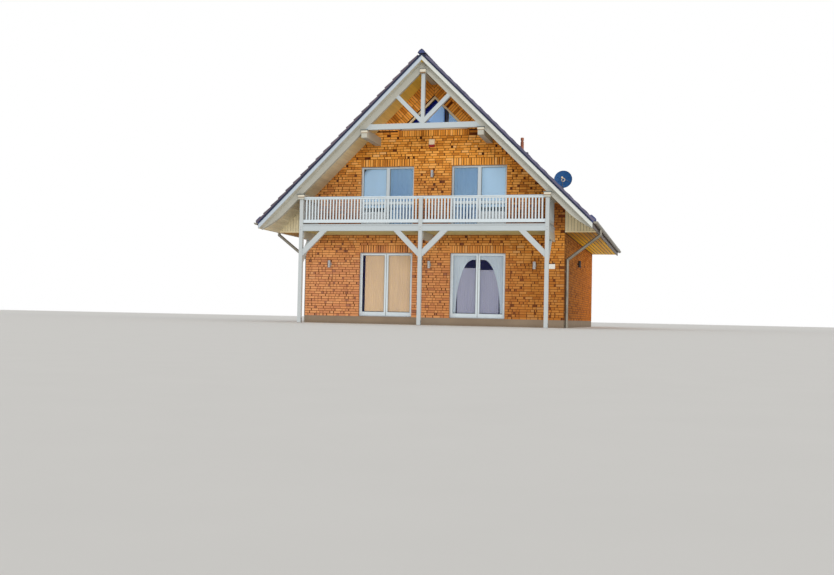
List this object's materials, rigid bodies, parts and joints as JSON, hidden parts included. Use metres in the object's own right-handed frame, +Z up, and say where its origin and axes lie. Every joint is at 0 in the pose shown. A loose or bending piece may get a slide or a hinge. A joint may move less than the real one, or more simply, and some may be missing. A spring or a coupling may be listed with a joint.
{
  "type": "beach house",
  "caption": "Gabled brick beach house with tiled roof, boarded front overhang, timber gable truss and a railed balcony on posts over hinged terrace doors.",
  "frame": {"origin": "middle of the roof's outline, at ground level", "axes": "X across the gable, Y from the front gable to the back, Z up"},
  "size_m": [11.226, 13.34, 8.8004],
  "materials": {
    "brick": "rough yellow-brown brick",
    "concrete": "rough",
    "timber_floor": "planed",
    "roof_tile": "dull",
    "pale_wood": "painted cream",
    "white_wood": "painted white",
    "soffit_wood": "stained tan",
    "zinc": "dull grey",
    "white_frame": "smooth white",
    "glass": "clear",
    "lamp": "grey",
    "plastic": "white",
    "dish": "blue",
    "flue": "brown",
    "blind_cloth": "pale woven cloth",
    "dark_metal": "black"
  },
  "bodies": {
    "house": {"ground_slab": "concrete", "front_wall_piers": "brick", "front_gable_wall": "brick", "rear_wall": "brick", "side_walls": "brick", "upper_floor": "concrete", "attic_floor": "timber_floor", "rafter_panel": "soffit_wood", "roof_boards_left": "soffit_wood", "roof_boards_right": "soffit_wood", "roof_tiles_left": "roof_tile", "roof_tiles_right": "roof_tile", "ridge_tiles": "roof_tile", "bargeboards": "white_wood", "front_rafters": "pale_wood", "ridge_purlin": "pale_wood", "mid_purlins": "pale_wood", "eaves_purlins": "pale_wood", "tie_beam": "white_wood", "king_post": "white_wood", "gable_struts": "white_wood", "balcony_posts": "white_wood", "knee_braces": "white_wood", "balcony_beams": "white_wood", "cross_beams": "pale_wood", "balcony_joists": "pale_wood", "balcony_deck": "timber_floor", "front_railings": "white_wood", "side_railings": "white_wood", "eaves_boxes": "soffit_wood", "gutters": "zinc", "downpipes": "zinc", "balcony_door_frames": "white_frame", "balcony_door_glass": "glass", "terrace_door_frames": "white_frame", "window_frames": "white_frame", "window_glass": "glass", "wall_lamps": "lamp", "alarm_box": "plastic", "house_plate": "plastic", "satellite_dish": "dish", "roof_pipes": "flue"},
    "left_unit_left_door": {"left_unit_left_leaf": "white_frame"},
    "left_unit_right_door": {"left_unit_right_leaf": "white_frame"},
    "right_unit_left_door": {"right_unit_left_leaf": "white_frame"},
    "right_unit_right_door": {"right_unit_right_leaf": "white_frame"}
  },
  "joints": [
    {"name": "left_unit_left_hinge", "type": "hinge", "parent": "house", "child": "left_unit_left_door", "pos_m": [-2.4805, -4.651, 1.3], "axis": [0, 0, 1], "range_deg": [0, 90]},
    {"name": "left_unit_right_hinge", "type": "hinge", "parent": "house", "child": "left_unit_right_door", "pos_m": [-0.6735, -4.651, 1.3], "axis": [0, 0, -1], "range_deg": [0, 90]},
    {"name": "right_unit_left_hinge", "type": "hinge", "parent": "house", "child": "right_unit_left_door", "pos_m": [0.6735, -4.651, 1.3], "axis": [0, 0, 1], "range_deg": [0, 90]},
    {"name": "right_unit_right_hinge", "type": "hinge", "parent": "house", "child": "right_unit_right_door", "pos_m": [2.4805, -4.651, 1.3], "axis": [0, 0, -1], "range_deg": [0, 90]}
  ]
}
